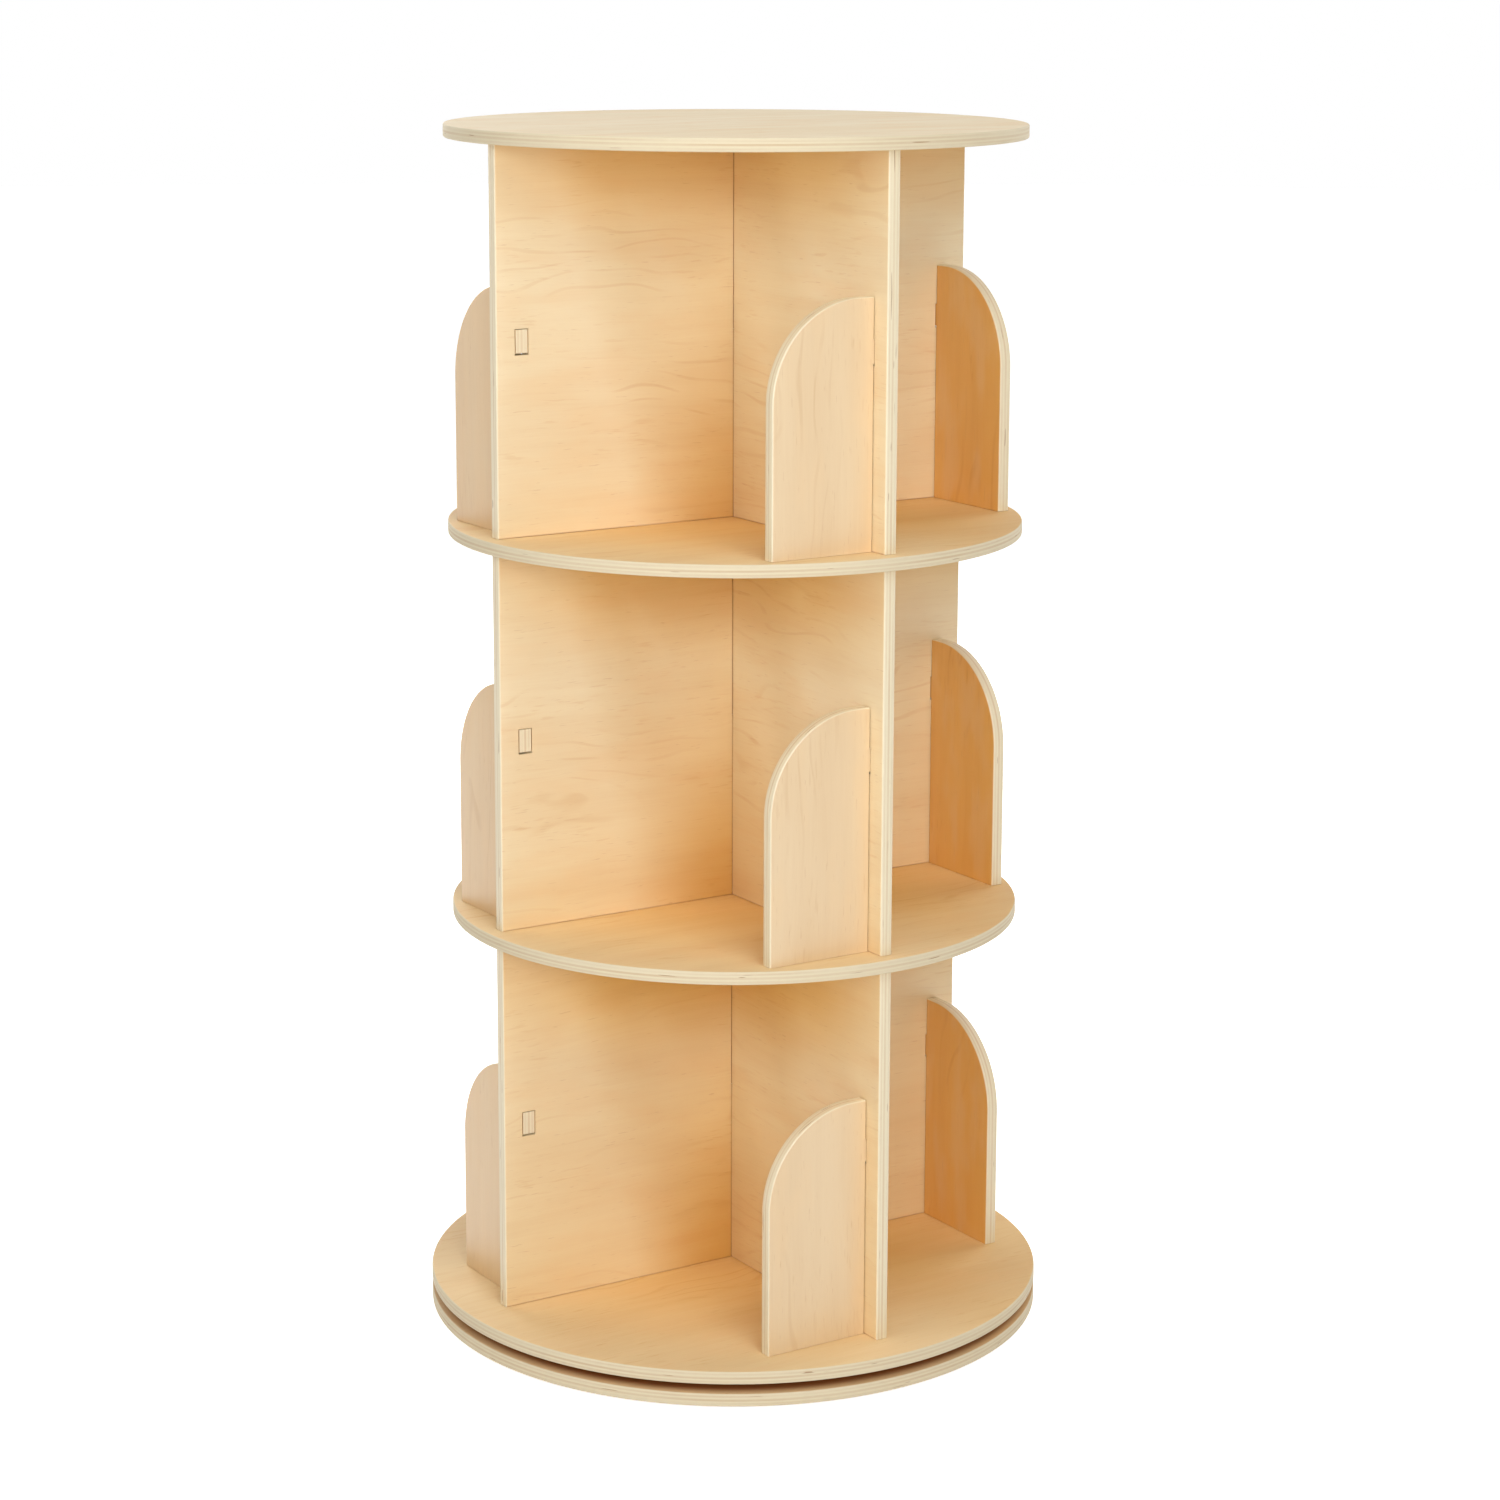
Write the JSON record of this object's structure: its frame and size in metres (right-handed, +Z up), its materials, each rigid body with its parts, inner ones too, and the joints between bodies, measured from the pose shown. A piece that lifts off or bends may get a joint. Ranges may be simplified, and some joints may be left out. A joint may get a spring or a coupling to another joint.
{
  "type": "revolving bookcase",
  "caption": "Round plywood bookcase that turns on a flat ball-bearing base, with crossed wings in stacked tiers and low arched dividers that keep books from sliding out.",
  "frame": {"origin": "on the floor, on the axis that the bookcase turns about", "axes": "+Z up along the turning axis; the wings run along X and Y; -Y is the front"},
  "size_m": [0.5, 0.5, 0.9653],
  "materials": {
    "plywood_boards": "pale maple-faced plywood, clear satin lacquer, rounded edges with the plies showing",
    "plywood_panels": "pale maple-faced plywood, clear satin lacquer, grain level",
    "plywood_dividers": "pale maple-faced plywood, clear satin lacquer, grain upright",
    "bearing_rings": "turned, with ball grooves",
    "ball_steel": "polished",
    "cage_nylon": "natural nylon strip",
    "zinc_screws": "zinc plated",
    "pad_rubber": "black, stuck on"
  },
  "bodies": {
    "base": {"base_board": "plywood_boards", "foot_pad_1": "pad_rubber", "foot_pad_2": "pad_rubber", "foot_pad_3": "pad_rubber", "foot_pad_4": "pad_rubber", "foot_pad_5": "pad_rubber", "foot_pad_6": "pad_rubber", "bearing_outer_ring": "bearing_rings", "outer_ring_screw_1": "zinc_screws", "outer_ring_screw_2": "zinc_screws", "outer_ring_screw_3": "zinc_screws", "outer_ring_screw_4": "zinc_screws"},
    "ball_cage": {"bearing_cage": "cage_nylon", "bearing_ball_1": "ball_steel", "bearing_ball_2": "ball_steel", "bearing_ball_3": "ball_steel", "bearing_ball_4": "ball_steel", "bearing_ball_5": "ball_steel", "bearing_ball_6": "ball_steel", "bearing_ball_7": "ball_steel", "bearing_ball_8": "ball_steel", "bearing_ball_9": "ball_steel", "bearing_ball_10": "ball_steel", "bearing_ball_11": "ball_steel", "bearing_ball_12": "ball_steel", "bearing_ball_13": "ball_steel", "bearing_ball_14": "ball_steel", "bearing_ball_15": "ball_steel", "bearing_ball_16": "ball_steel"},
    "carcass": {"bearing_inner_ring": "bearing_rings", "inner_ring_screw_1": "zinc_screws", "inner_ring_screw_2": "zinc_screws", "inner_ring_screw_3": "zinc_screws", "inner_ring_screw_4": "zinc_screws", "turntable_board": "plywood_boards", "lower_shelf": "plywood_boards", "upper_shelf": "plywood_boards", "top_board": "plywood_boards", "lower_panel_left_right": "plywood_panels", "lower_panel_front_back": "plywood_panels", "middle_panel_left_right": "plywood_panels", "middle_panel_front_back": "plywood_panels", "upper_panel_left_right": "plywood_panels", "upper_panel_front_back": "plywood_panels", "lower_divider_right": "plywood_dividers", "lower_divider_back": "plywood_dividers", "lower_divider_left": "plywood_dividers", "lower_divider_front": "plywood_dividers", "middle_divider_right": "plywood_dividers", "middle_divider_back": "plywood_dividers", "middle_divider_left": "plywood_dividers", "middle_divider_front": "plywood_dividers", "upper_divider_right": "plywood_dividers", "upper_divider_back": "plywood_dividers", "upper_divider_left": "plywood_dividers", "upper_divider_front": "plywood_dividers"}
  },
  "joints": [
    {"name": "carcass_spin", "type": "hinge", "parent": "base", "child": "carcass", "pos_m": [0, 0, 0.01655], "axis": [0, 0, 1], "continuous": true},
    {"name": "cage_spin", "type": "hinge", "parent": "base", "child": "ball_cage", "pos_m": [0, 0, 0.01655], "axis": [0, 0, 1], "continuous": true}
  ],
  "couplings": [
    {"joint": "cage_spin", "follows": "carcass_spin", "ratio": 0.4925}
  ]
}
